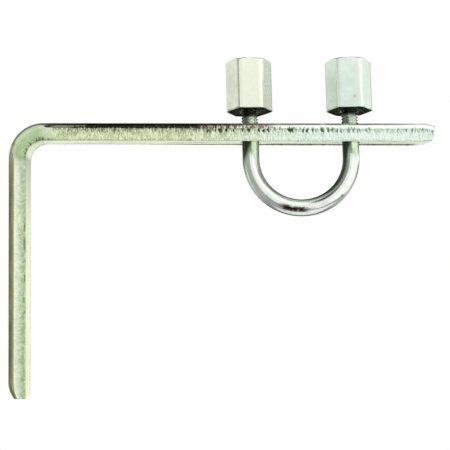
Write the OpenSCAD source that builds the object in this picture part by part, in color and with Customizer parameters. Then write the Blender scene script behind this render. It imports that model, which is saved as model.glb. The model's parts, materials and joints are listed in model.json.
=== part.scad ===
// Ladder stabilizer bracket: a bent flat bar and the U-bolt that clamps it to a ladder rung.
// +X runs along the arm to its free end, +Y across the bar and +Z up.
// The origin is the rung seat: the arm's underside, midway between the legs of the U-bolt.

/* [Flat bar] */
// Thickness of the bar
bar_t = 7.94; // [6.4:0.01:8.2]
// Width of the bar
bar_w = 38.1; // [32:0.1:50]
// Length of the arm, from the outer face of the leg to the free end
arm_len = 196.85; // [190:0.05:230]
// Height of the leg, from the top of the arm to the foot
leg_len = 127; // [90:0.5:200]
// Inside radius of the bend
bend_r = 8.2; // [6:0.1:12]

/* [Sheared ends] */
// Length over which the arm's top rolls down to its sheared end
arm_roll_len = 6; // [4:0.1:8]
// How far the top has rolled down at the arm's end
arm_roll_drop = 1.35; // [0.5:0.05:2]
// How far the sheared end of the arm leans under
arm_end_lean = 1.1; // [0:0.1:2]
// Length over which the leg's outer face rolls in to the foot
leg_roll_len = 7.5; // [5:0.1:12]
// How far the outer face has rolled in at the foot
leg_roll_in = 2.7; // [0.5:0.1:4]

/* [U-bolt] */
// Diameter of the rod
rod_d = 7.94; // [7:0.01:8.2]
// Clear width between the legs, for the rung
seat_w = 39; // [36:0.1:42]
// Length from the inside of the bend to the ends of the legs
inside_len = 60.3; // [57:0.1:70]
// Depth of the bend's inside below the arm, along the legs
seat_depth = 27.35; // [27:0.05:32]
// Chamfer on the ends of the legs
rod_chamfer = 0.9; // [0.5:0.1:1.2]
// Distance from the outer face of the leg to the middle of the U-bolt
seat_from_leg = 135.3; // [125:0.1:150]
// Diameter of the clearance holes in the arm
hole_d = 9.53; // [9.5:0.01:11]

/* [Tall hex nuts] */
// Width across the flats
nut_af = 19.05; // [16:0.05:20]
// Height of a nut
nut_h = 24.1; // [20:0.1:30]
// Radius to which the corners of the hexagon are dulled
nut_corner_r = 10.82; // [10.5:0.01:11]
// Width across the top face, inside its chamfer
nut_crown_d = 18.6; // [16:0.1:18.8]
// Height of the chamfer at the corners
nut_chamfer_h = 0.8; // [0.5:0.1:2.5]
// Radial play between a nut's bore and the rod
thread_play = 0.05; // [0.02:0.01:0.1]
// Gap from the arm up to the left nut, along its leg
left_nut_gap = 7.2; // [3:0.1:10]
// Gap from the arm up to the right nut, along its leg
right_nut_gap = 6.4; // [3:0.1:10]

/* [Hang of the loose U-bolt] */
// Lean of the leg ends towards +Y in their clearance holes
lean_back = 9.4; // [0:0.1:9.4]
// Lean of the leg ends towards the bracket's leg
lean_side = 1.4; // [0:0.1:1.4]
// Turn of the left nut on its leg
left_nut_turn = 4; // [-30:0.5:30]
// Turn of the right nut on its leg
right_nut_turn = -1.5; // [-30:0.5:30]

/* [Hidden] */
round_fn = 96;
past = 1;                                  // how far a cutter runs past the face it cuts
leg_x = -seat_from_leg;                    // outer face of the leg
arm_x = leg_x + arm_len;                   // free end of the arm
foot_z = bar_t - leg_len;                  // foot of the leg
outer_r = bend_r + bar_t;                  // outside radius of the bend
leg_pitch = (seat_w + rod_d) / 2;          // from the middle of the U-bolt to a leg's axis
bend_z = seat_w / 2 - seat_depth;          // height of the U-bend's centre, along the legs
leg_end_z = inside_len - seat_depth;       // height of the legs' ends, along the legs
straight_h = leg_end_z - rod_chamfer - bend_z;
arm_roll_r = roll_radius(arm_roll_len, arm_roll_drop);
leg_roll_r = roll_radius(leg_roll_len, leg_roll_in);
crown_r = nut_crown_d / 2;

// Radius of an arc that starts along a face and leaves it by drop over a length of run
function roll_radius(run, drop) = (run * run + drop * drop) / (2 * drop);

// The outline of the bent bar, in the plane of the bend
module bar_outline() {
  translate([leg_x + outer_r, 0]) square([arm_len - outer_r, bar_t]);
  translate([leg_x, foot_z]) square([bar_t, leg_len - outer_r]);
  translate([leg_x + outer_r, bar_t - outer_r]) intersection() {
    difference() {
      circle(r = outer_r, $fn = round_fn);
      circle(r = bend_r, $fn = round_fn);
    }
    translate([-outer_r - past, 0]) square(outer_r + past);
  }
}

// What the shears dragged off the top of the arm's end
module arm_end_cut() {
  difference() {
    translate([arm_x - arm_roll_len, bar_t - arm_roll_r]) square([arm_roll_len + past, arm_roll_r + past]);
    translate([arm_x - arm_roll_len, bar_t - arm_roll_r]) circle(r = arm_roll_r, $fn = round_fn);
  }
  polygon([[arm_x - arm_end_lean, -past], [arm_x, bar_t], [arm_x + past, bar_t], [arm_x + past, -past]]);
}

// What the shears dragged off the outer face at the foot
module foot_cut() {
  difference() {
    translate([leg_x - past, foot_z - past]) square([leg_roll_r + past, leg_roll_len + past]);
    translate([leg_x + leg_roll_r, foot_z + leg_roll_len]) circle(r = leg_roll_r, $fn = round_fn);
  }
}

// Seats its children on the loose U-bolt, which leans about the middle of the arm's thickness
module on_legs() {
  translate([0, 0, bar_t / 2])
    rotate([-lean_back, 0, 0])
      rotate([0, -lean_side, 0])
        translate([0, 0, -bar_t / 2]) children();
}

module bracket() {
  color("#c9d3bd") difference() {
    rotate([90, 0, 0]) linear_extrude(bar_w, center = true) difference() {
      bar_outline();
      arm_end_cut();
      foot_cut();
    }
    for (side = [-1, 1])
      translate([side * leg_pitch, 0, -past]) cylinder(d = hole_d, h = bar_t + 2 * past, $fn = round_fn);
  }
}

module u_bolt() {
  color("#cdd8cb") on_legs() {
    for (side = [-1, 1]) translate([side * leg_pitch, 0, bend_z]) {
      cylinder(d = rod_d, h = straight_h, $fn = round_fn);
      translate([0, 0, straight_h])
        cylinder(r1 = rod_d / 2, r2 = rod_d / 2 - rod_chamfer, h = rod_chamfer, $fn = round_fn);
    }
    translate([0, 0, bend_z]) rotate([-90, 0, 0])
      rotate_extrude(angle = 180, $fn = round_fn) translate([leg_pitch, 0]) circle(d = rod_d, $fn = round_fn);
  }
}

// A tall hex nut with its sharp-edged face down and its chamfered crown up
module tall_nut(side, gap, turn) {
  on_legs() translate([side * leg_pitch, 0, bar_t + gap]) rotate([0, 0, turn]) difference() {
    intersection() {
      cylinder(d = nut_af / cos(30), h = nut_h, $fn = 6);
      union() {
        cylinder(r = nut_corner_r, h = nut_h - nut_chamfer_h, $fn = round_fn);
        translate([0, 0, nut_h - nut_chamfer_h])
          cylinder(r1 = nut_corner_r, r2 = crown_r, h = nut_chamfer_h, $fn = round_fn);
      }
    }
    translate([0, 0, -past])
      cylinder(r = rod_d / 2 + thread_play, h = nut_h + 2 * past, $fn = round_fn);
  }
}

module nut_left() {
  color("#d6dccb") tall_nut(-1, left_nut_gap, left_nut_turn);
}

module nut_right() {
  color("#d3dfd2") tall_nut(1, right_nut_gap, right_nut_turn);
}

bracket();
u_bolt();
nut_left();
nut_right();
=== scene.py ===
import json
import math
import bmesh
import bpy
from mathutils import Matrix, Vector


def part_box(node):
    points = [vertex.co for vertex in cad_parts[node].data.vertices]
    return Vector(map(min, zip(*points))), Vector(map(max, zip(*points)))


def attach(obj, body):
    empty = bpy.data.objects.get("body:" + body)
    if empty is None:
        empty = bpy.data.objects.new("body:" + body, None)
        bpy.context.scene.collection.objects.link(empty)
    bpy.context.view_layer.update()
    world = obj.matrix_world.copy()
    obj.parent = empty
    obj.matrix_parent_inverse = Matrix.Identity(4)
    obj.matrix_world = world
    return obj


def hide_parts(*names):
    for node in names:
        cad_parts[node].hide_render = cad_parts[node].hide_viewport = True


# A ladder stabilizer: a flat bar bent into an L, and the U-bolt with two tall nuts that
# clamps it to a rung. Everything is in metres, +X along the arm, +Y across the bar, +Z up.
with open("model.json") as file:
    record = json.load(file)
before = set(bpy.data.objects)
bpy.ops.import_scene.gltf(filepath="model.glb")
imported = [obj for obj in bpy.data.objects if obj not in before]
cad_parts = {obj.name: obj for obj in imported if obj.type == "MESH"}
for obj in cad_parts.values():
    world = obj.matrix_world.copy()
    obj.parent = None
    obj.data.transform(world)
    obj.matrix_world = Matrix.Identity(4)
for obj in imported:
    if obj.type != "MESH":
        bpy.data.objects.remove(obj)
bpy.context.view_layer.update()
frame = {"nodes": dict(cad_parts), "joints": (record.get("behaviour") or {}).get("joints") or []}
scene = bpy.context.scene
mm = 0.001


# ---- node helpers: the same few work in geometry trees and in materials
class Wire:  # an output socket; sums and products of wires are Math nodes
    def __init__(self, tree, socket):
        self.tree = tree
        self.socket = socket

    def isVector(self):
        return self.socket.type == "VECTOR"

    def calc(self, operation, *others):
        node = self.tree.nodes.new("ShaderNodeMath")
        node.operation = operation
        for place, value in enumerate((self, *others)):
            feed(self.tree, node.inputs[place], value)
        return Wire(self.tree, node.outputs[0])

    def vector(self, operation, *others):
        node = self.tree.nodes.new("ShaderNodeVectorMath")
        node.operation = operation
        for place, value in enumerate((self, *others)):
            feed(self.tree, node.inputs["Scale" if operation == "SCALE" and place else place], value)
        isNumber = operation in ("LENGTH", "DOT_PRODUCT", "DISTANCE")
        return Wire(self.tree, node.outputs["Value" if isNumber else "Vector"])

    def __add__(self, other):
        return self.vector("ADD", other) if self.isVector() else self.calc("ADD", other)

    def __sub__(self, other):
        return self.vector("SUBTRACT", other) if self.isVector() else self.calc("SUBTRACT", other)

    def __mul__(self, other):
        return self.vector("SCALE", other) if self.isVector() else self.calc("MULTIPLY", other)

    def __truediv__(self, other):
        return self.calc("DIVIDE", other)

    def __rsub__(self, other):
        return put(self.tree, "ShaderNodeMath", {0: other, 1: self}, operation="SUBTRACT")[0]

    def __rtruediv__(self, other):
        return put(self.tree, "ShaderNodeMath", {0: other, 1: self}, operation="DIVIDE")[0]

    __radd__ = __add__
    __rmul__ = __mul__

    def ramp(self, low, high, start=0.0, end=1.0):  # smooth step from start to end
        node = self.tree.nodes.new("ShaderNodeMapRange")
        node.interpolation_type = "SMOOTHSTEP"
        for place, value in enumerate((self, low, high, start, end)):
            feed(self.tree, node.inputs[place], value)
        return Wire(self.tree, node.outputs[0])

    def parts(self):  # x, y and z of a vector
        node = self.tree.nodes.new("ShaderNodeSeparateXYZ")
        feed(self.tree, node.inputs[0], self)
        return [Wire(self.tree, output) for output in node.outputs]


class Step:  # a node that has been put in a tree; step["Name"] is one of its outputs
    def __init__(self, tree, kind, inputs, settings):
        self.tree = tree
        self.node = tree.nodes.new(kind)
        for name, value in settings.items():
            setattr(self.node, name, value)
        for name, value in inputs.items():
            feed(tree, pick(self.node.inputs, name), value)

    def __getitem__(self, name):
        return Wire(self.tree, pick(self.node.outputs, name))


def put(tree, kind, inputs=None, **settings):
    return Step(tree, kind, inputs or {}, settings)


def pick(sockets, name):
    if isinstance(name, int):
        return sockets[name]
    return next(socket for socket in sockets if socket.name == name and socket.enabled)


def feed(tree, socket, value):
    if isinstance(value, Wire):
        tree.links.new(value.socket, socket)
    else:
        socket.default_value = value


def number(tree, value):
    node = tree.nodes.new("ShaderNodeValue")
    node.outputs[0].default_value = value
    return Wire(tree, node.outputs[0])


def join(tree, x, y, z):
    return put(tree, "ShaderNodeCombineXYZ", {"X": x, "Y": y, "Z": z})["Vector"]


def noise(tree, vector, scale, detail=2.0, roughness=0.5, distortion=0.0):
    inputs = {"Vector": vector, "Scale": scale, "Detail": detail, "Roughness": roughness,
              "Distortion": distortion}
    return put(tree, "ShaderNodeTexNoise", inputs)[0]


def mix(tree, mask, first, second):  # colour mix; the sockets of the colour type come last
    return put(tree, "ShaderNodeMix", {0: mask, 6: first, 7: second}, data_type="RGBA")[2]


socketKinds = {float: "NodeSocketFloat", int: "NodeSocketInt", tuple: "NodeSocketColor",
               Vector: "NodeSocketVector", type(None): "NodeSocketGeometry",
               bpy.types.Material: "NodeSocketMaterial"}


def label(name):  # ringSpacing becomes "Ring Spacing"
    spaced = "".join(" " + letter if letter.isupper() else letter for letter in name)
    return spaced[0].upper() + spaced[1:]


def namedInputs(settings):  # a piece's settings as the inputs of its tree
    return {label(name): value for name, value in settings.items()}


def newTree(name, kind, inputs, outputs):
    tree = bpy.data.node_groups.new(name, kind)
    for title, value in inputs.items():
        socket = tree.interface.new_socket(title, in_out="INPUT", socket_type=socketKinds[type(value)])
        if isinstance(value, (float, int, tuple, Vector)):
            socket.default_value = value
    for title, value in outputs.items():
        tree.interface.new_socket(title, in_out="OUTPUT", socket_type=socketKinds[type(value)])
    return tree, put(tree, "NodeGroupInput")


def capture(tree, geometry, values):  # keeps values of a curve's points on the mesh made from it
    node = tree.nodes.new("GeometryNodeCaptureAttribute")
    for name, value in values.items():
        node.capture_items.new("VECTOR" if value.isVector() else "FLOAT", name)
    feed(tree, node.inputs["Geometry"], geometry)
    for name, value in values.items():
        feed(tree, node.inputs[name], value)
    kept = [Wire(tree, node.outputs[name]) for name in values]
    return Wire(tree, node.outputs["Geometry"]), *kept


def store(tree, geometry, name, value):  # a named attribute, which the material reads
    kind = "FLOAT_VECTOR" if value.isVector() else "FLOAT"
    inputs = {"Geometry": geometry, "Name": name, "Value": value}
    return put(tree, "GeometryNodeStoreNamedAttribute", inputs, data_type=kind)["Geometry"]


def finishTree(tree, geometry, material):
    real = put(tree, "GeometryNodeRealizeInstances", {"Geometry": geometry})["Geometry"]
    painted = put(tree, "GeometryNodeSetMaterial", {"Geometry": real, "Material": material})["Geometry"]
    put(tree, "NodeGroupOutput", {"Geometry": painted})


def wirePath(name, corners, closed=False):  # the corners that a tree's path starts from
    edges = [(place, place + 1) for place in range(len(corners) - 1)]
    if closed:
        edges.append((len(corners) - 1, 0))
    mesh = bpy.data.meshes.new(name)
    mesh.from_pydata(corners, edges, [])
    piece = bpy.data.objects.new(name, mesh)
    scene.collection.objects.link(piece)
    return piece


def build(piece, tree, values, place, sharpAngle):  # runs the tree and leaves a plain mesh
    modifier = piece.modifiers.new("build", "NODES")
    modifier.node_group = tree
    for item in tree.interface.items_tree:
        if item.in_out == "INPUT" and item.name in values:
            modifier[item.identifier] = values[item.name]
    bpy.context.view_layer.update()
    graph = bpy.context.evaluated_depsgraph_get()
    mesh = bpy.data.meshes.new_from_object(piece.evaluated_get(graph), preserve_all_data_layers=True,
                                           depsgraph=graph)
    piece.modifiers.remove(modifier)
    shape = bmesh.new()
    shape.from_mesh(mesh)
    bmesh.ops.remove_doubles(shape, verts=shape.verts, dist=1e-7)
    bmesh.ops.recalc_face_normals(shape, faces=shape.faces)
    if shape.calc_volume(signed=True) < 0:
        bmesh.ops.reverse_faces(shape, faces=shape.faces)
    loose = sum(not edge.is_manifold for edge in shape.edges)
    shape.to_mesh(mesh)
    shape.free()
    mesh.transform(place)
    mesh.shade_smooth()
    mesh.set_sharp_from_angle(angle=math.radians(sharpAngle))
    mesh.name = piece.name
    piece.data = mesh
    triangles = sum(len(face.vertices) - 2 for face in mesh.polygons)
    print(piece.name, "has", triangles, "triangles and", loose, "open edges")
    return piece


# ---- sizes from the frame
barLow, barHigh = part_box("bracket")
thickness = barHigh.z
width = barHigh.y - barLow.y
joints = {joint["name"]: joint for joint in frame["joints"]}
legAxis = Vector(joints["u_bolt_slide"]["axis"]).normalized()
across = Vector(joints["nut_right_spin"]["pos_m"]) - Vector(joints["nut_left_spin"]["pos_m"])
across -= across.dot(legAxis) * legAxis
legPitch = across.length / 2
acrossAxis = across.normalized()
seat = Vector((0, 0, thickness / 2)) - legAxis * thickness / 2  # the rung seat, moved by the lean
legAxes = Matrix((acrossAxis, legAxis.cross(acrossAxis), legAxis)).transposed()
onLegs = Matrix.Translation(seat) @ legAxes.to_4x4()


def alongLegs(node):  # lowest and highest point of a CAD node along the legs of the U-bolt
    heights = [(vertex.co - seat).dot(legAxis) for vertex in frame["nodes"][node].data.vertices]
    return min(heights), max(heights)


print("frame: bar", round(thickness / mm, 2), "x", round(width / mm, 2), "mm, legs",
      round(2 * legPitch / mm, 2), "mm apart")


# ---- shared effects
def zincTree():  # patchy chromate over zinc: a colour between two tints, and a roughness
    tree, given = newTree("zincBloom", "ShaderNodeTree",
                          {"Position": Vector((0, 0, 0)), "Pale": (1.0, 1.0, 1.0, 1.0),
                           "Deep": (0.5, 0.5, 0.5, 1.0), "Patch Scale": 100.0, "Fine Scale": 900.0,
                           "Bloom": 0.5, "Smooth": 0.3, "Rough": 0.5},
                          {"Color": (0.0, 0.0, 0.0, 1.0), "Roughness": 0.0})
    patches = noise(tree, given["Position"], given["Patch Scale"], 4.0, 0.62, 0.4)
    fine = noise(tree, given["Position"], given["Fine Scale"], 2.0, 0.6)
    mask = (patches * 0.7 + fine * 0.3 + (given["Bloom"] - 0.5)).ramp(0.36, 0.64)
    color = mix(tree, mask, given["Deep"], given["Pale"])
    roughness = given["Rough"] + mask * (given["Smooth"] - given["Rough"])
    put(tree, "NodeGroupOutput", {"Color": color, "Roughness": roughness})
    return tree


def speckTree():  # small round marks, thinly spread
    tree, given = newTree("specks", "ShaderNodeTree",
                          {"Position": Vector((0, 0, 0)), "Scale": 300.0, "Amount": 0.2},
                          {"Mask": 0.0})
    cells = put(tree, "ShaderNodeTexVoronoi", {"Vector": given["Position"], "Scale": given["Scale"]})
    chance = cells["Color"].parts()[0]
    size = noise(tree, given["Position"], given["Scale"] * 2.5) * 0.25
    dot = (cells["Distance"] + size).ramp(0.18, 0.42, 1.0, 0.0)
    put(tree, "NodeGroupOutput", {"Mask": dot * (chance - given["Amount"]).ramp(-0.02, 0.02, 1.0, 0.0)})
    return tree


def grainTree():  # fine relief for a Bump node
    tree, given = newTree("plateGrain", "ShaderNodeTree",
                          {"Position": Vector((0, 0, 0)), "Scale": 1500.0, "Dents": 150.0},
                          {"Height": 0.0})
    grain = noise(tree, given["Position"], given["Scale"], 3.0, 0.6)
    dents = noise(tree, given["Position"], given["Dents"], 2.0)
    put(tree, "NodeGroupOutput", {"Height": grain * 0.4 + dents * 0.6})
    return tree


zincBloom = zincTree()
specks = speckTree()
plateGrain = grainTree()


def newMaterial(name, edgeTint):
    material = bpy.data.materials.new(name)
    material.use_nodes = True
    tree = material.node_tree
    tree.nodes.clear()
    shader = tree.nodes.new("ShaderNodeBsdfPrincipled")
    shader.inputs["Metallic"].default_value = 1.0
    shader.inputs["Specular Tint"].default_value = edgeTint  # what a low, glancing view shows
    output = tree.nodes.new("ShaderNodeOutputMaterial")
    tree.links.new(shader.outputs[0], output.inputs["Surface"])
    return material, tree, shader


def use(tree, group, **inputs):  # puts a shared effect in a material
    node = tree.nodes.new("ShaderNodeGroup")
    node.node_tree = group
    for name, value in inputs.items():
        feed(tree, node.inputs[label(name)], value)
    return lambda output: Wire(tree, node.outputs[output])


def relief(tree, height, depth, strength):
    inputs = {"Height": height, "Distance": depth, "Strength": strength}
    return put(tree, "ShaderNodeBump", inputs)["Normal"]


def attribute(tree, name, output="Fac"):
    return put(tree, "ShaderNodeAttribute", attribute_name=name)[output]


# ---- the bent bar
bar = {
    "insideRadius": 8.2 * mm,
    "ringSpacing": 0.23 * mm,
    "sideSpacing": 0.52 * mm,
    "faceSpacing": 4.5 * mm,
    "rollOver": 2.4 * mm,  # how far the shears dragged the outer edges round
    "innerEdge": 0.25 * mm,
    "recess": 0.26 * mm,  # the sheared sides lie this far inside the full width
    "rollSlope": 0.5,  # slope at which the rolled edge leaves the tear line
    "striation": 0.42 * mm,
    "pitDepth": 0.7 * mm,
    "burr": 0.55 * mm,
    "armRollLength": 6.0 * mm,
    "armRollDrop": 1.35 * mm,
    "armEndLean": 1.1 * mm,
    "legRollLength": 7.5 * mm,
    "legRollIn": 2.7 * mm,
    "holeDiameter": 9.53 * mm,
    "holeFlare": 0.35 * mm,
    "holeRows": 60,
    "holeColumns": 72,
    "tearWander": 0.7 * mm,  # how far the tear line strays, in long waves
    "tearRagged": 1.0 * mm,  # and in short ones
    "tearStep": 0.1 * mm,  # the torn face lies this far inside the rolled edge
    "waveDepth": 0.16 * mm,
    "dentDepth": 0.1 * mm,
    "skinDepth": 0.07 * mm,
    "foldDepth": 0.45 * mm,
    "rimEase": 0.22 * mm,
    "leanLength": 9 * mm,  # how far from the arm's end it starts to lean
    "sharpAngle": 48,  # degrees
}


def barMaterial():
    material, tree, shader = newMaterial("yellowZincBar", (0.90, 0.95, 0.78, 1.0))
    position = put(tree, "ShaderNodeTexCoord")["Object"]
    along, side, high = attribute(tree, "barSpace", "Vector").parts()
    torn = attribute(tree, "torn")
    sheared = attribute(tree, "sheared")
    onArm = attribute(tree, "onArm")
    x = position.parts()[0]

    # mill faces: yellow-green towards the leg, mint towards the free end
    mint = (x + noise(tree, position, 90.0) * (40 * mm)).ramp(-0.045, 0.035)
    pale = mix(tree, mint, (0.84, 0.92, 0.60, 1.0), (0.86, 0.97, 0.84, 1.0))
    deep = mix(tree, mint, (0.60, 0.70, 0.42, 1.0), (0.66, 0.82, 0.66, 1.0))
    barPlace = join(tree, along * 0.3, side, high)
    zinc = use(tree, zincBloom, position=barPlace, pale=pale, deep=deep, patchScale=150.0,
               fineScale=1300.0, bloom=0.55, smooth=0.16, rough=0.26)

    # the sheared side: dull between bright flecks that run across the thickness
    down = 0.5 - high / thickness  # 0 at the outer face and 1 at the inner one
    fleckPlace = join(tree, along / (1.25 * mm), high / (2.8 * mm), side * 90.0)
    flecks = noise(tree, fleckPlace, 1.0, 3.0, 0.65, 1.4)
    drifts = noise(tree, join(tree, along, high, side), 260.0, 2.0)
    bright = (flecks * 0.7 + drifts * 0.3).ramp(0.43, 0.57)
    dull = mix(tree, mint, (0.36, 0.43, 0.23, 1.0), (0.40, 0.56, 0.48, 1.0))
    flare = mix(tree, mint, (0.86, 0.94, 0.64, 1.0), (0.88, 1.0, 0.88, 1.0))
    sheen = (bright * 0.8 + down.ramp(0.3, 0.95) * 0.45 + mint * 0.3).calc("MINIMUM", 1.0)
    cut = mix(tree, sheen, dull, flare)

    # on the leg and in the bend it is smoother, with a painted highlight by the rolled edge, and greener
    # inwards
    speckle = noise(tree, join(tree, along, side, high), 760.0, 3.0, 0.7)
    shade = (down.ramp(0.42, 0.92) * 0.8 + (speckle - 0.5) * 2.4).calc("MAXIMUM", 0.0)
    leaf = noise(tree, join(tree, along * 0.4, side, high), 60.0).ramp(0.35, 0.65)
    shaded = mix(tree, leaf, (0.40, 0.52, 0.25, 1.0), (0.42, 0.57, 0.38, 1.0))
    legTone = mix(tree, shade.calc("MINIMUM", 1.0), (0.92, 1.0, 0.76, 1.0), shaded)
    # painted highlight: a pale cream strip next to the rolled edge
    legTone = mix(tree, down.ramp(0.34, 0.48, 1.0, 0.0), legTone, (1.0, 1.0, 0.88, 1.0))
    bendTint = attribute(tree, "inBend")
    bendTone = noise(tree, join(tree, along, side, high), 240.0, 3.0, 0.6).ramp(0.3, 0.7)
    bendTone = mix(tree, bendTone, (0.38, 0.53, 0.29, 1.0), (0.52, 0.67, 0.36, 1.0))
    legTone = mix(tree, bendTint * 0.8, legTone, bendTone)
    cut = mix(tree, onArm, legTone, cut)
    cutShare = (sheared + bendTint * 0.9).calc("MINIMUM", 1.0)
    color = mix(tree, cutShare, zinc("Color"), cut)
    # painted shadow: near-black in the pits and the folds, and darker on the walls of the holes
    color = mix(tree, torn, color, (0.06, 0.07, 0.045, 1.0))

    # the rolled edge: near-black along the arm as painted shade and dark reflection, rusty round the left
    # rod, olive down the leg and darkened there as painted dark reflection
    atEdge = side.calc("ABSOLUTE").ramp(width / 2 - 2.6 * mm, width / 2 - 1.8 * mm)
    rolled = (1.0 - sheared) * (high - thickness / 2 + bar["rollOver"]).ramp(-0.6 * mm, 0.1 * mm) * atEdge
    gaps = noise(tree, join(tree, along, 0.0, high), 420.0, 2.0) - 0.5
    # painted shade and dark reflection: near-black along the rolled edge of the arm, by the bend
    paintedDarkEdge = rolled * x.ramp(-0.05, -0.04, 1.0, 0.0) * (x + gaps * (34 * mm)).ramp(-0.108, -0.1)
    paintedDarkEdge = paintedDarkEdge * x.ramp(-0.111, -0.107)
    chips = noise(tree, join(tree, along, 0.0, high * 1.4), 620.0, 3.0, 0.65).ramp(0.56, 0.66)
    color = mix(tree, paintedDarkEdge * (1.0 - chips * 0.6) * 0.96, color, (0.035, 0.035, 0.028, 1.0))
    rusty = rolled * x.ramp(-0.052, -0.044) * x.ramp(-0.018, -0.008, 1.0, 0.0)
    rusty = rusty * noise(tree, position, 500.0, 3.0).ramp(0.35, 0.6)
    color = mix(tree, rusty, color, (0.22, 0.13, 0.10, 1.0))
    # painted dark reflection: the rolled edge of the leg darkened to olive, near-black at the outer face
    olive = rolled * (1.0 - onArm) * (1.0 - bendTint * 0.85)
    oliveTone = noise(tree, join(tree, along * 0.3, 0.0, high * 2.0), 260.0, 4.0, 0.6).ramp(0.35, 0.65)
    oliveTone = mix(tree, oliveTone, (0.22, 0.22, 0.12, 1.0), (0.52, 0.54, 0.22, 1.0))
    oliveTone = mix(tree, down.ramp(0.02, 0.1, 0.6, 0.0), oliveTone, (0.08, 0.08, 0.05, 1.0))
    oliveTone = mix(tree, down.ramp(0.16, 0.26), oliveTone, (0.66, 0.68, 0.32, 1.0))
    color = mix(tree, olive * 0.85, color, oliveTone)

    # dark blotches along the inner arris, and a painted shadow line where the top meets the rolled edge
    atArris = down.ramp(0.84, 0.94) * side.calc("ABSOLUTE").ramp(width / 2 - 7 * mm, width / 2 - 1 * mm)
    blotch = noise(tree, join(tree, along * 0.7, side * 0.4, high), 420.0, 3.0, 0.6)
    blotch = (blotch + (noise(tree, position, 45.0) - 0.5) * 0.5).ramp(0.55, 0.64)
    blotch = blotch * atArris * (1.0 - onArm * 0.7)
    color = mix(tree, blotch * 0.7, color, (0.19, 0.16, 0.09, 1.0))
    # painted shadow: a dark line along the top of the arm, full as far as the right stem and fainter
    # beyond
    topShadowLine = down.ramp(0.07, 0.13, 1.0, 0.0) * atEdge * onArm * x.ramp(0.03, 0.062, 1.0, 0.45)
    topShadowLine = topShadowLine * noise(tree, join(tree, along, 0.0, 0.0), 90.0, 3.0).ramp(0.3, 0.5, 0.4, 1.0)
    color = mix(tree, topShadowLine * 0.95, color, (0.09, 0.075, 0.055, 1.0))
    marks = use(tree, specks, position=position, scale=210.0, amount=0.06)("Mask")
    color = mix(tree, marks * 0.6, color, (0.20, 0.21, 0.12, 1.0))
    feed(tree, shader.inputs["Base Color"], color)
    roughness = zinc("Roughness") + sheared * 0.1 + torn * 0.2 - rolled * 0.04
    feed(tree, shader.inputs["Roughness"], roughness)
    grain = use(tree, plateGrain, position=position, scale=1800.0, dents=260.0)("Height")
    height = grain * (0.25 + sheared * 0.75) + flecks * sheared * (onArm * 2.2 + 0.2)
    feed(tree, shader.inputs["Normal"], relief(tree, height, 0.16 * mm, 0.6))
    return material


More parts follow.
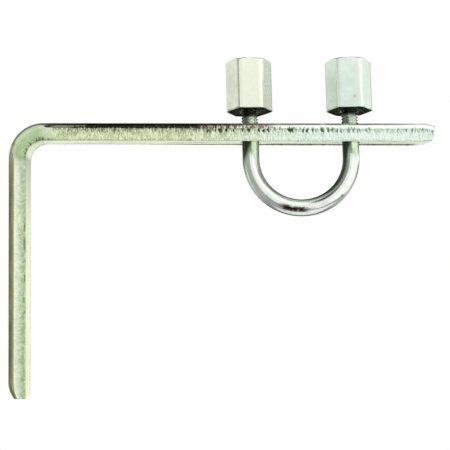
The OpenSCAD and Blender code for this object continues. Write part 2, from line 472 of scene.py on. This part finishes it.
def barTree(material):
    tree, given = newTree("bentBar", "GeometryNodeTree",
                          {"Geometry": None, "Thickness": 0.008, "Width": 0.038, "Leg Straight": 0.11,
                           "Leg Pitch": 0.0235, "Inside Radius": 0.008,
                           "Ring Spacing": 0.001, "Side Spacing": 0.001, "Face Spacing": 0.003,
                           "Roll Over": 0.002, "Inner Edge": 0.0002, "Recess": 0.0002,
                           "Roll Slope": 0.5, "Striation": 0.0002, "Pit Depth": 0.0005,
                           "Burr": 0.0005, "Arm Roll Length": 0.006, "Arm Roll Drop": 0.0013,
                           "Arm End Lean": 0.001, "Leg Roll Length": 0.007, "Leg Roll In": 0.0027,
                           "Hole Diameter": 0.0095, "Hole Flare": 0.0003, "Finish": material},
                          {"Geometry": None})
    half = given["Thickness"] * 0.5
    halfWidth = given["Width"] * 0.5
    here = put(tree, "GeometryNodeInputPosition")["Position"]

    # the path along the middle of the bar, foot to arm end
    corners = put(tree, "GeometryNodeMeshToCurve", {"Mesh": given["Geometry"]})["Curve"]
    middleRadius = given["Inside Radius"] + half
    bent = put(tree, "GeometryNodeFilletCurve",
               {"Curve": corners, "Count": 64, "Radius": middleRadius}, mode="POLY")["Curve"]
    path = put(tree, "GeometryNodeResampleCurve", {"Curve": bent, "Length": given["Ring Spacing"]},
               mode="LENGTH")["Curve"]
    pathLength = put(tree, "GeometryNodeCurveLength", {"Curve": path})["Length"]
    tangent = put(tree, "GeometryNodeInputTangent")["Tangent"]
    run = put(tree, "GeometryNodeSplineParameter")["Length"]
    path, middle, heading, along = capture(tree, path, {"Middle": here, "Heading": tangent, "Along": run})

    # the section: rolled-over outer edges, crisp inner edges, close columns on the sheared sides
    section = put(tree, "GeometryNodeCurvePrimitiveQuadrilateral",
                  {"Width": given["Width"], "Height": given["Thickness"]})["Curve"]
    isOuter = here.parts()[1].calc("GREATER_THAN", 0.0)
    edgeRadius = given["Inner Edge"] + isOuter * (given["Roll Over"] - given["Inner Edge"])
    rounding = {"Curve": section, "Count": isOuter * 5.0 + 3.0, "Radius": edgeRadius}
    section = put(tree, "GeometryNodeFilletCurve", rounding, mode="POLY")["Curve"]
    index = put(tree, "GeometryNodeInputIndex")["Index"]
    following = put(tree, "GeometryNodeOffsetPointInCurve",
                    {"Point Index": index, "Offset": 1})["Point Index"]
    there = put(tree, "GeometryNodeFieldAtIndex", {"Value": here, "Index": following},
                data_type="FLOAT_VECTOR", domain="POINT")["Value"]
    gapX, gapY, _ = (there - here).vector("ABSOLUTE").parts()
    cuts = (gapX / given["Face Spacing"] + gapY / given["Side Spacing"]).calc("FLOOR")
    section = put(tree, "GeometryNodeSubdivideCurve", {"Curve": section, "Cuts": cuts})["Curve"]
    section, place = capture(tree, section, {"Place": here})
    swept = put(tree, "GeometryNodeCurveToMesh",
                {"Curve": path, "Profile Curve": section, "Fill Caps": True})["Mesh"]

    # where each point is on the bar
    side, high, _ = place.parts()
    edgeSide = side.calc("SIGN")
    outerShare = (high + half) / given["Thickness"]
    toEnd = pathLength - along
    armStart = given["Leg Straight"] + middleRadius * (math.pi / 2)
    inBend = (along - given["Leg Straight"]).ramp(-4 * mm, 3 * mm)
    inBend = inBend * (along - armStart).ramp(-3 * mm, 5 * mm, 1.0, 0.0)
    onArm = (along - armStart).ramp(-2 * mm, 12 * mm)
    sideward = side.calc("ABSOLUTE")
    onSide = (sideward - halfWidth + given["Roll Over"]).ramp(0.3 * mm, 2.3 * mm)
    armX = middle.parts()[0]

    # the sheared sides: a wandering tear line under the rolled edge, pits along it, and
    # striations that run down from it and die out towards the inner face
    shift = edgeSide * 3.7
    rollStart = half - given["Roll Over"]
    rolled = (high - rollStart).calc("MAXIMUM", 0.0)
    outerReach = ((sideward - halfWidth) / given["Roll Over"] + 1.0).calc("MAXIMUM", 0.0)
    rollShare = rolled / given["Roll Over"]
    wander = noise(tree, join(tree, along, shift, 0.0), 260.0, 2.0) - 0.5
    ragged = noise(tree, join(tree, along, shift, 7.0), 900.0, 2.0) - 0.5
    tearLine = rollStart + wander * bar["tearWander"] + ragged * bar["tearRagged"]
    below = (tearLine - high).ramp(-0.1 * mm, 0.35 * mm)
    striaPlace = join(tree, along / (1.15 * mm), high / (4.5 * mm), shift)
    coarse = noise(tree, striaPlace, 1.0, 2.0, 0.6, 0.6)
    finePlace = join(tree, along / (0.55 * mm), high / (2.2 * mm), shift + 20.0)
    stria = coarse * 0.7 + noise(tree, finePlace, 1.0, 1.0) * 0.3
    fade = outerShare.ramp(0.0, 0.6, 0.4, 1.0)
    striaDepth = given["Striation"] * below * fade * (onArm * 0.8 + 0.2) * (1.0 - inBend * 0.8)
    pitPlace = join(tree, along / (1.05 * mm), high / (4.5 * mm), shift + 40.0)
    clusters = noise(tree, join(tree, along, shift, 11.0), 170.0, 1.0) - 0.5
    pits = (noise(tree, pitPlace, 1.0, 2.0, 0.5, 0.2) + clusters * 0.3).ramp(0.53, 0.63)
    pits = pits * armX.ramp(-0.05, -0.038, 0.4, 1.0) * armX.ramp(-0.005, 0.03, 1.0, 0.5)
    pitHigh = (tearLine - high - 0.8 * mm).calc("ABSOLUTE").ramp(0.3 * mm, 1.5 * mm, 1.0, 0.0)
    pits = pits * pitHigh * onArm
    waves = noise(tree, join(tree, along, high, shift), 90.0, 2.0)
    dents = noise(tree, join(tree, along, high, shift + 9.0), 420.0, 2.0)
    inward = given["Recess"] + waves * bar["waveDepth"] + dents * bar["dentDepth"]
    inward = inward + below * bar["tearStep"]
    inward = inward + stria * striaDepth + pits * given["Pit Depth"]
    slope = given["Roll Slope"] * (1.0 - rollShare * 0.2) * (1.0 - inBend)
    inward = inward + rolled * outerReach * slope
    inward = inward + inBend * outerShare.ramp(0.2, 1.0, -0.28 * mm, 0.2 * mm)
    inward = inward - (halfWidth - sideward) * inBend * 0.9  # the bend stretches the rolled edge flat

    # the bend squeezes small folds into its inner edge
    folds = noise(tree, join(tree, along / (0.75 * mm), shift, 0.0), 1.0, 2.0).ramp(0.4, 0.62)
    folds = folds * inBend * outerShare.ramp(0.02, 0.2, 1.0, 0.0)
    inward = inward + folds * bar["foldDepth"]
    newSide = side - edgeSide * onSide * inward

    # the burr hangs from the lower arris of the arm and grows towards its free end
    growth = armX.ramp(-0.1, 0.01, 0.15, 1.0) * onArm
    uneven = noise(tree, join(tree, along, shift, 4.0), 500.0, 2.0) * 0.7 + 0.5
    lip = (halfWidth - sideward).ramp(0.0, 1.6 * mm, 1.0, 0.0) * outerShare.ramp(0.0, 0.16, 1.0, 0.0)
    newHigh = high - given["Burr"] * growth * uneven * lip * toEnd.ramp(1 * mm, 8 * mm)

    # the ends: the outer face rolls in, the arm's end leans under, and the rims are eased
    armRoll = (1.0 - toEnd / given["Arm Roll Length"]).calc("MAXIMUM", 0.0)
    legRoll = (1.0 - along / given["Leg Roll Length"]).calc("MAXIMUM", 0.0)
    rollIn = armRoll * armRoll * given["Arm Roll Drop"] + legRoll * legRoll * given["Leg Roll In"]
    newHigh = newHigh - rollIn * outerShare
    rim = (1.0 - toEnd / given["Ring Spacing"]).calc("MAXIMUM", 0.0)
    rim = (rim + (1.0 - along / given["Ring Spacing"]).calc("MAXIMUM", 0.0)) * bar["rimEase"]
    newSide = newSide - edgeSide * rim
    newHigh = newHigh - high.calc("SIGN") * rim
    lean = (1.0 - toEnd / bar["leanLength"]).calc("MAXIMUM", 0.0)
    backed = lean * (1.0 - outerShare) * given["Arm End Lean"]
    skin = noise(tree, join(tree, along, side, high), 130.0, 2.0) - 0.5
    newHigh = newHigh + high.calc("SIGN") * (skin - 0.5) * bar["skinDepth"]
    outward = heading.vector("CROSS_PRODUCT", join(tree, 0.0, 1.0, 0.0)).vector("NORMALIZE")
    spot = middle + join(tree, 0.0, newSide, 0.0) + outward * newHigh - heading * backed
    shaped = put(tree, "GeometryNodeSetPosition", {"Geometry": swept, "Position": spot})["Geometry"]
    shaped = store(tree, shaped, "barSpace", join(tree, along, side, high))
    # the pits and folds, rougher as torn metal and painted dark as shadow
    shaped = store(tree, shaped, "torn", (pits + folds * 0.8).calc("MINIMUM", 1.0) * onSide)
    shaped = store(tree, shaped, "sheared", below * onSide)
    shaped = store(tree, shaped, "onArm", onArm)
    shaped = store(tree, shaped, "inBend", inBend)

    # the two punched holes, flared where the punch went in
    drillEnd = join(tree, 0.0, 0.0, given["Thickness"] + 2 * mm)
    drill = put(tree, "GeometryNodeCurvePrimitiveLine",
                {"Start": (0, 0, -2 * mm), "End": drillEnd})["Curve"]
    drill = put(tree, "GeometryNodeResampleCurve", {"Curve": drill, "Count": bar["holeRows"]},
                mode="COUNT")["Curve"]
    fromTop = given["Thickness"] - here.parts()[2]
    flare = fromTop.ramp(-0.2 * mm, 0.9 * mm, 1.0, 0.0) + fromTop.ramp(6.4 * mm, 8.2 * mm, 0.0, 0.4)
    radius = given["Hole Diameter"] * 0.5 + flare * given["Hole Flare"]
    ring = put(tree, "GeometryNodeCurvePrimitiveCircle",
               {"Resolution": bar["holeColumns"], "Radius": 1.0})["Curve"]
    drill = put(tree, "GeometryNodeCurveToMesh",
                {"Curve": drill, "Profile Curve": ring, "Scale": radius, "Fill Caps": True})["Mesh"]
    # the hole walls, painted darker as shade in the holes
    drill = store(tree, drill, "torn", number(tree, 0.35))
    spots = put(tree, "GeometryNodeMeshLine",
                {"Count": 2, "Start Location": join(tree, given["Leg Pitch"] * -1.0, 0.0, 0.0),
                 "Offset": join(tree, given["Leg Pitch"] * 2.0, 0.0, 0.0)})["Mesh"]
    drills = put(tree, "GeometryNodeInstanceOnPoints", {"Points": spots, "Instance": drill})["Instances"]
    drills = put(tree, "GeometryNodeRealizeInstances", {"Geometry": drills})["Geometry"]
    punched = put(tree, "GeometryNodeMeshBoolean", {"Mesh 1": shaped, "Mesh 2": drills},
                  operation="DIFFERENCE", solver="MANIFOLD")["Mesh"]
    finishTree(tree, punched, given["Finish"])
    return tree


def makeBar():
    material = barMaterial()
    middleX = barLow.x + thickness / 2
    corners = [(middleX, 0, barLow.z), (middleX, 0, thickness / 2), (barHigh.x, 0, thickness / 2)]
    legStraight = thickness / 2 - (bar["insideRadius"] + thickness / 2) - barLow.z
    values = {"Thickness": thickness, "Width": width, "Leg Straight": legStraight,
              "Leg Pitch": legPitch, "Finish": material}
    values.update(namedInputs(bar))
    piece = build(wirePath("bentBar", corners), barTree(material), values, Matrix.Identity(4),
                  bar["sharpAngle"])
    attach(piece, "bracket")
    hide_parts("bracket")


# ---- the U-bolt
rod = {
    "rodDiameter": 7.94 * mm,
    "ringSpacing": 0.14 * mm,
    "pitch": 25.4 * mm / 18,
    "threadStart": 0.8 * mm,  # along the legs, from the underside of the arm
    "majorRadius": 3.93 * mm,
    "minorRadius": 3.12 * mm,
    "chamfer": 0.9 * mm,
    # where the painted shade under the nuts starts, along the legs
    "oilHeight": 12.2 * mm,
    "columns": 48,
    "unevenness": 0.05 * mm,
    "gripDepth": 0.12 * mm,  # of the little flat that the bender left
    "sharpAngle": 50,  # degrees
}


def threadWave(tree, turn, height, pitch):  # 0 on the crests and 1 in the roots of a right-hand thread
    phase = (height / pitch - turn / (2 * math.pi)).calc("FRACT")
    wave = 1.0 - (phase * 2.0 - 1.0).calc("ABSOLUTE")
    node = put(tree, "ShaderNodeMapRange", {"Value": wave, "From Min": 0.125, "From Max": 0.78})
    return node["Result"]


def rodMaterial():
    material, tree, shader = newMaterial("brightZincRod", (0.85, 0.92, 0.85, 1.0))
    position = put(tree, "ShaderNodeTexCoord")["Object"]
    root = attribute(tree, "threadRoot")
    dieMark = attribute(tree, "dieMark")
    zinc = use(tree, zincBloom, position=position, pale=(0.88, 0.93, 0.87, 1.0),
               deep=(0.66, 0.73, 0.63, 1.0), patchScale=140.0, fineScale=1500.0, bloom=0.6,
               smooth=0.16, rough=0.28)
    # painted shade: darker in the thread roots
    color = mix(tree, root * 0.35, zinc("Color"), (0.30, 0.34, 0.24, 1.0))
    marks = use(tree, specks, position=position, scale=260.0, amount=0.1)("Mask")
    color = mix(tree, marks * 0.8, color, (0.14, 0.13, 0.08, 1.0))
    # painted shade and dark reflection: near-black under the nuts, just below the arm and round the
    # inside of the bend
    color = mix(tree, attribute(tree, "grime") * 0.96, color, (0.03, 0.042, 0.028, 1.0))
    stain = noise(tree, position, 300.0, 3.0, 0.6).ramp(0.3, 0.6) * dieMark
    color = mix(tree, stain * 0.8, color, (0.36, 0.26, 0.18, 1.0))
    scab = (noise(tree, position, 700.0, 3.0, 0.6) + dieMark * 0.15).ramp(0.48, 0.6) * dieMark
    color = mix(tree, scab, color, (0.04, 0.025, 0.02, 1.0))
    feed(tree, shader.inputs["Base Color"], color)
    feed(tree, shader.inputs["Roughness"], zinc("Roughness") + scab * 0.3)
    grain = use(tree, plateGrain, position=position, scale=1600.0, dents=220.0)("Height")
    feed(tree, shader.inputs["Normal"], relief(tree, grain, 0.08 * mm, 0.35))
    return material


def rodTree(material):
    tree, given = newTree("uBoltRod", "GeometryNodeTree",
                          {"Geometry": None, "Rod Diameter": 0.008, "Leg Pitch": 0.0235,
                           "Leg End": 0.033, "Bend Height": -0.008, "Ring Spacing": 0.0002,
                           "Pitch": 0.0014, "Thread Start": 0.001, "Major Radius": 0.004,
                           "Minor Radius": 0.003, "Chamfer": 0.001, "Oil Height": 0.012,
                           "Finish": material},
                          {"Geometry": None})
    here = put(tree, "GeometryNodeInputPosition")["Position"]
    corners = put(tree, "GeometryNodeMeshToCurve", {"Mesh": given["Geometry"]})["Curve"]
    bent = put(tree, "GeometryNodeFilletCurve",
               {"Curve": corners, "Count": 64, "Radius": given["Leg Pitch"]}, mode="POLY")["Curve"]
    path = put(tree, "GeometryNodeResampleCurve", {"Curve": bent, "Length": given["Ring Spacing"]},
               mode="LENGTH")["Curve"]
    path, middle = capture(tree, path, {"Middle": here})
    ring = put(tree, "GeometryNodeCurvePrimitiveCircle",
               {"Resolution": rod["columns"], "Radius": given["Rod Diameter"] * 0.5})["Curve"]
    swept = put(tree, "GeometryNodeCurveToMesh",
                {"Curve": path, "Profile Curve": ring, "Fill Caps": True})["Mesh"]

    # the thread: a radius that follows the turn about the leg and the height along it
    spoke = (here - middle).vector("NORMALIZE")
    spokeX, spokeY, spokeZ = spoke.parts()
    height = middle.parts()[2]
    wave = threadWave(tree, spokeY.calc("ARCTAN2", spokeX), height, given["Pitch"])
    cut = (height - given["Thread Start"]).ramp(0.0, 2.4 * mm)
    smooth = given["Rod Diameter"] * 0.5 - noise(tree, here, 160.0, 2.0) * rod["unevenness"]
    crest = smooth + cut * (given["Major Radius"] - smooth)
    radius = crest - wave * cut * (given["Major Radius"] - given["Minor Radius"])
    toEnd = given["Leg End"] - height
    cone = given["Rod Diameter"] * 0.5 - given["Chamfer"] + toEnd
    radius = radius.calc("MINIMUM", cone)

    # where the bender gripped it, a little flat low on the front of the bend
    low = height.ramp(-24 * mm, -29 * mm)
    grip = (middle.parts()[0] + 4 * mm).calc("ABSOLUTE").ramp(3.5 * mm, 7.5 * mm, 1.0, 0.0) * low
    facing = (spokeZ + 0.36).calc("ABSOLUTE").ramp(0.14, 0.42, 1.0, 0.0)
    facing = facing * (spokeY * -1.0).ramp(0.5, 0.8)
    grip = grip * facing
    radius = radius - grip * rod["gripDepth"]
    spot = middle + spoke * radius
    shaped = put(tree, "GeometryNodeSetPosition", {"Geometry": swept, "Position": spot})["Geometry"]
    shaped = store(tree, shaped, "threadRoot", wave * cut)
    shaped = store(tree, shaped, "dieMark", grip)

    # painted shade and dark reflection: near-black in the threads under the nuts, on one side just below
    # the arm and up the left of the stems
    shadeEdge = noise(tree, here, 350.0, 2.0) * (1.6 * mm)
    paintedShadeMask = (height + shadeEdge).ramp(given["Oil Height"], given["Oil Height"] + 1.4 * mm)
    shadeSlant = spokeX - (height + shadeEdge) / (10 * mm)
    paintedShadeMask = paintedShadeMask + shadeSlant.ramp(-0.25, 0.25, 1.0, 0.0) * height.ramp(0.0, 2 * mm, 1.0, 0.0)
    paintedShadeMask = paintedShadeMask + spokeX.ramp(-0.75, -0.3, 0.5, 0.0) * height.ramp(6 * mm, 7 * mm)

    # painted shade: a darker streak round the inside of the bend, wider on the right leg
    legX = middle.parts()[0]
    inside = join(tree, legX * -1.0, 0.0, (given["Bend Height"] - height).calc("MAXIMUM", 0.0))
    innerShare = spoke.vector("DOT_PRODUCT", inside.vector("NORMALIZE"))
    streak = (innerShare + legX.ramp(-10 * mm, 20 * mm, -0.16, 0.14)).ramp(0.5, 0.85)
    paintedShadeMask = (paintedShadeMask + streak * height.ramp(2 * mm, 6 * mm, 0.95, 0.0)).calc("MINIMUM", 1.0)
    shaped = store(tree, shaped, "grime", paintedShadeMask)
    finishTree(tree, shaped, given["Finish"])
    return tree


def makeRod():
    material = rodMaterial()
    low, high = alongLegs("u_bolt")
    bottom = low + rod["rodDiameter"] / 2
    corners = [(-legPitch, 0, high), (-legPitch, 0, bottom), (legPitch, 0, bottom), (legPitch, 0, high)]
    values = {"Leg Pitch": legPitch, "Leg End": high, "Bend Height": bottom + legPitch,
              "Finish": material}
    values.update(namedInputs(rod))
    piece = build(wirePath("uBoltRod", corners), rodTree(material), values, onLegs, rod["sharpAngle"])
    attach(piece, "u_bolt")
    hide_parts("u_bolt")


# ---- the tall hex nuts
nut = {
    "acrossFlats": 19.05 * mm,
    "cornerRadius": 10.82 * mm,  # drawn hexagon bar has dulled corners
    "crownRadius": 9.28 * mm,
    "chamferHeight": 0.8 * mm,
    "boreMajor": 4.06 * mm,
    "boreMinor": 3.3 * mm,
    "pitch": rod["pitch"],
    "threadRows": 0.16 * mm,
    "wallRows": 1.0 * mm,
    "countersink": 0.5 * mm,
    "footEase": 0.18 * mm,
    "columns": 144,
    "bunching": 0.8,  # how far the columns are drawn to the middles of the faces, where 1 joins them
    "sharpAngle": 28,  # degrees
}
nutTurns = {"nut_left": 4.0, "nut_right": -1.5}  # degrees about the legs


def nutMaterial():
    material, tree, shader = newMaterial("satinZincNut", (0.90, 0.94, 0.88, 1.0))
    position = put(tree, "ShaderNodeTexCoord")["Object"]
    root = attribute(tree, "threadRoot")
    arris = attribute(tree, "arris")
    turn, _, height = attribute(tree, "nutSpace", "Vector").parts()
    mint = position.parts()[0].ramp(-0.02, 0.02)
    pale = mix(tree, mint, (0.84, 0.90, 0.75, 1.0), (0.78, 0.88, 0.79, 1.0))
    deep = mix(tree, mint, (0.78, 0.84, 0.69, 1.0), (0.70, 0.80, 0.71, 1.0))
    zinc = use(tree, zincBloom, position=position, pale=pale, deep=deep, patchScale=60.0,
               fineScale=500.0, bloom=0.5, smooth=0.26, rough=0.32)
    drawn = noise(tree, join(tree, turn * 40.0, height * 60.0, 0.0), 4.0, 3.0, 0.6)
    color = mix(tree, drawn.ramp(0.45, 0.75) * 0.3, zinc("Color"), (0.66, 0.74, 0.60, 1.0))
    color = mix(tree, arris * 0.35, color, (0.95, 0.97, 0.88, 1.0))
    # painted shade: darker in the thread roots of the bore
    color = mix(tree, root * 0.6, color, (0.22, 0.25, 0.18, 1.0))
    marks = use(tree, specks, position=position, scale=240.0, amount=0.06)("Mask")
    color = mix(tree, marks * 0.5, color, (0.35, 0.36, 0.25, 1.0))
    # painted shade and dark reflection: the underside of the nut near-black
    foot = attribute(tree, "foot")
    color = mix(tree, foot * 0.85, color, (0.14, 0.16, 0.13, 1.0))
    feed(tree, shader.inputs["Base Color"], color)
    feed(tree, shader.inputs["Roughness"], zinc("Roughness") - arris * 0.1 - foot * 0.16)
    grain = use(tree, plateGrain, position=position, scale=1500.0, dents=240.0)("Height")
    feed(tree, shader.inputs["Normal"], relief(tree, grain + drawn * 0.5, 0.05 * mm, 0.25))
    return material


def nutTree(material):
    tree, given = newTree("tallNut", "GeometryNodeTree",
                          {"Geometry": None, "Across Flats": 0.019, "Corner Radius": 0.0108,
                           "Crown Radius": 0.0088, "Chamfer Height": 0.0015, "Top": 0.03,
                           "Bottom": 0.01, "Bore Major": 0.004, "Bore Minor": 0.0033,
                           "Pitch": 0.0014, "Countersink": 0.0005, "Foot Ease": 0.0002, "Columns": 144,
                           "Turn": 0.0, "Leg": 0.0235, "Finish": material},
                          {"Geometry": None})
    here = put(tree, "GeometryNodeInputPosition")["Position"]

    # columns stand closest at the middle of each face and widest at the corners
    ring = put(tree, "GeometryNodeCurvePrimitiveCircle",
               {"Resolution": given["Columns"], "Radius": 1.0})["Curve"]
    evenX, evenY, _ = here.parts()
    even = evenY.calc("ARCTAN2", evenX)
    bunched = even + (even * 6.0).calc("SINE") * (nut["bunching"] / 6.0)
    ring, turn = capture(tree, ring, {"Turn": bunched})
    section = put(tree, "GeometryNodeMeshToCurve", {"Mesh": given["Geometry"]})["Curve"]
    section, place = capture(tree, section, {"Place": here})
    swept = put(tree, "GeometryNodeCurveToMesh", {"Curve": ring, "Profile Curve": section})["Mesh"]

    # the outline at each turn, cut back by the crown's cone
    reach, kind, height = place.parts()
    isWall = kind.calc("GREATER_THAN", 0.5)
    sector = (turn + 6.5 * math.pi / 3).calc("WRAP", math.pi / 6, -math.pi / 6)
    flat = given["Across Flats"] * 0.5 / sector.calc("COSINE")
    outline = flat.calc("MINIMUM", given["Corner Radius"])
    crown = given["Crown Radius"]
    wallRadius = crown + (outline - crown) * reach
    slope = given["Chamfer Height"] / (given["Corner Radius"] - crown)
    coneHeight = given["Top"] - (wallRadius - crown).calc("MAXIMUM", 0.0) * slope
    legTurn = turn + given["Turn"]
    wave = threadWave(tree, legTurn, height, given["Pitch"])
    thread = given["Bore Major"] - wave * (given["Bore Major"] - given["Bore Minor"])
    toMouth = (given["Top"] - height).calc("MINIMUM", height - given["Bottom"])
    sink = given["Bore Major"] + given["Countersink"] - toMouth
    boreRadius = thread.calc("MAXIMUM", sink)
    radius = boreRadius + isWall * (wallRadius - boreRadius)
    newHeight = height + isWall * (height.calc("MINIMUM", coneHeight) - height)
    spot = join(tree, legTurn.calc("COSINE") * radius + given["Leg"],
                legTurn.calc("SINE") * radius, newHeight)
    shaped = put(tree, "GeometryNodeSetPosition", {"Geometry": swept, "Position": spot})["Geometry"]
    arris = sector.calc("ABSOLUTE").ramp(math.pi / 6 - 0.07, math.pi / 6 - 0.02) * isWall
    shaped = store(tree, shaped, "nutSpace", join(tree, turn, reach, height))
    belowTop = height.ramp(given["Top"] - 1 * mm, given["Top"], 1.0, 0.3)
    shaped = store(tree, shaped, "arris", arris * belowTop)
    shaped = store(tree, shaped, "threadRoot", wave * (1.0 - isWall))
    # the underside, which the material paints near-black as shade and dark reflection
    isFoot = height.ramp(given["Bottom"], given["Bottom"] + given["Foot Ease"], 1.0, 0.0)
    shaped = store(tree, shaped, "foot", isFoot * isWall)
    finishTree(tree, shaped, given["Finish"])
    return tree


def nutSection(bottom, top):
    # Points of the closed section. x is the share of the way out from the crown to the hexagon,
    # y tells the outer wall (1) from the bore (0), and z is the height.
    ease = nut["footEase"]
    count = round((top - bottom) / nut["wallRows"])
    rows = [bottom + ease + (top - bottom - ease) * step / count for step in range(count + 1)]
    points = [(-0.9, 1, bottom), (0.0, 1, bottom), (0.9, 1, bottom)]
    points += [(1, 1, height) for height in rows]
    points += [(share, 1, top) for share in (0.93, 0.85, 0.6, 0.3, 0.0, -0.5)]
    boreRows = round((top - bottom) / nut["threadRows"])
    points += [(0, 0, top - (top - bottom) * step / boreRows) for step in range(boreRows + 1)]
    return points


def makeNuts():
    material = nutMaterial()
    tree = nutTree(material)
    for node, name, sign in (("nut_left", "tallNutLeft", -1), ("nut_right", "tallNutRight", 1)):
        bottom, top = alongLegs(node)
        values = {"Top": top, "Bottom": bottom, "Turn": math.radians(nutTurns[node]),
                  "Leg": sign * legPitch, "Finish": material}
        values.update(namedInputs(nut))
        piece = build(wirePath(name, nutSection(bottom, top), True), tree, values, onLegs,
                      nut["sharpAngle"])
        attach(piece, node)
        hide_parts(node)


# ---- studio
studio = {
    "cameraPlace": (-0.0553, -1.05, -0.0567),
    "cameraTilt": 0.98,
    "cameraTurn": -1.09,
    "lens": 179.3,
    "floorDrop": 1.5 * mm,
    "floorRadius": 0.4,
    "roomGrey": 0.28,
    "overheadShade": 0.88,  # how much the room darkens overhead, on the camera's side
    "behindShade": 0.93,  # and behind the object, away from the horizon
    "boxPlace": (0.14, -0.2, 0.35),
    "boxTarget": (0.14, -0.2, 0),
    "boxSize": (0.32, 0.65),
    "boxGlow": 1.1,
}

# The soft lights around the object: where each starts and ends, in degrees to the right of the
# camera's side and above the horizon, how softly it fades out, and how bright it is.
roomLights = {
    "front": {"turn": (-22, 14), "rise": (-12, 36), "fade": 7, "glow": 0.97},
    "right": {"turn": (10, 108), "rise": (-30, 40), "fade": 9, "glow": 1.15},
    "left": {"turn": (-85, -20), "rise": (-45, 30), "fade": 10, "glow": 0.42},
    "lowBackLeft": {"turn": (-150, -85), "rise": (-45, -4), "fade": 9, "glow": 0.5},
    "backLeft": {"turn": (-142, -102), "rise": (3, 28), "fade": 5, "glow": 1.1},
    "backRight": {"turn": (100, 127), "rise": (3, 28), "fade": 5, "glow": 1.5},
    "farRight": {"turn": (127, 150), "rise": (0, 32), "fade": 5, "glow": 0.65},
    "lowBackRight": {"turn": (85, 150), "rise": (-45, -6), "fade": 9, "glow": 0.5},
    "aboveBack": {"turn": (-200, 200), "rise": (62, 100), "fade": 9, "glow": 0.36},
    "belowFront": {"turn": (-30, 100), "rise": (-100, -40), "fade": 8, "glow": 0.9},
    "belowLeft": {"turn": (-100, -30), "rise": (-100, -40), "fade": 8, "glow": 0.4},
    "belowBack": {"turn": (-200, 200), "rise": (-100, -58), "fade": 7, "glow": 0.85},
    "backdropRight": {"turn": (156, 200), "rise": (-10, 3), "fade": 3, "glow": 1.1},
    "backdropLeft": {"turn": (-200, -156), "rise": (-10, 3), "fade": 3, "glow": 1.1},
}


def softbox(name, place, target, size, glow):  # glow is how bright its cloth looks, 1 being white
    light = bpy.data.lights.new(name, "AREA")
    light.shape = "RECTANGLE"
    light.size, light.size_y = size
    light.energy = glow * math.pi * size[0] * size[1]
    lamp = bpy.data.objects.new(name, light)
    lamp.location = place
    lamp.rotation_euler = (Vector(target) - Vector(place)).to_track_quat("-Z", "Y").to_euler()
    lamp.visible_camera = False
    scene.collection.objects.link(lamp)


def makeRoom():
    world = bpy.data.worlds.new("paleRoom")
    world.use_nodes = True
    scene.world = world
    tree = world.node_tree
    tree.nodes.clear()
    x, y, z = put(tree, "ShaderNodeTexCoord")["Generated"].parts()
    turn = x.calc("ARCTAN2", y * -1.0) * (180 / math.pi)
    rise = z.calc("ARCSINE") * (180 / math.pi)
    glow = number(tree, studio["roomGrey"])
    overhead = x.calc("ABSOLUTE").ramp(0.2, 0.5, 1.0, 0.0) * (y - z * 0.2).ramp(-0.15, 0.1, 1.0, 0.0)
    glow = glow * (1.0 - overhead * rise.ramp(24.0, 36.0) * studio["overheadShade"])
    behind = y.ramp(0.55, 0.8) * rise.calc("ABSOLUTE").ramp(3.0, 12.0)
    glow = glow * (1.0 - behind * rise.ramp(45.0, 60.0, 1.0, 0.0) * studio["behindShade"])
    for light in roomLights.values():
        share = number(tree, light["glow"])
        for angle, (start, end) in ((turn, light["turn"]), (rise, light["rise"])):
            share = share * angle.ramp(start - light["fade"], start + light["fade"])
            share = share * angle.ramp(end - light["fade"], end + light["fade"], 1.0, 0.0)
        glow = glow.calc("MAXIMUM", share)
    rays = put(tree, "ShaderNodeLightPath")
    seen = put(tree, "ShaderNodeBackground", {"Color": (1, 1, 1, 1), "Strength": 1.0})["Background"]
    room = put(tree, "ShaderNodeBackground", {"Color": (1, 1, 1, 1), "Strength": glow})["Background"]
    mixed = put(tree, "ShaderNodeMixShader", {0: rays["Is Camera Ray"], 1: room, 2: seen})[0]
    put(tree, "ShaderNodeOutputWorld", {"Surface": mixed})


def makeFloor():
    floor = bpy.data.objects.new("floor", bpy.data.meshes.new("floor"))
    scene.collection.objects.link(floor)
    shape = bmesh.new()
    bmesh.ops.create_circle(shape, cap_ends=True, segments=96, radius=studio["floorRadius"],
                            matrix=Matrix.Translation((0, 0, barLow.z - studio["floorDrop"])))
    shape.to_mesh(floor.data)
    shape.free()
    material = bpy.data.materials.new("paleFloor")
    material.use_nodes = True
    tree = material.node_tree
    tree.nodes.clear()
    white = put(tree, "ShaderNodeEmission", {"Color": (1, 1, 1, 1), "Strength": 1.0})["Emission"]
    put(tree, "ShaderNodeOutputMaterial", {"Surface": white})
    floor.data.materials.append(material)
    floor.visible_glossy = False  # the metal shows the room lights instead
    floor.visible_diffuse = False


def makeCamera():
    camera = bpy.data.cameras.new("camera")
    camera.lens = studio["lens"]
    camera.sensor_width = 36
    holder = bpy.data.objects.new("camera", camera)
    holder.location = studio["cameraPlace"]
    holder.rotation_euler = (math.radians(90 + studio["cameraTilt"]), 0,
                             math.radians(studio["cameraTurn"]))
    scene.collection.objects.link(holder)
    scene.camera = holder


makeCamera()
makeRoom()
makeFloor()
softbox("overhead", studio["boxPlace"], studio["boxTarget"], studio["boxSize"], studio["boxGlow"])
scene.view_settings.view_transform = "Standard"
print("camera, room and lights are up")

makeBar()
makeRod()
makeNuts()
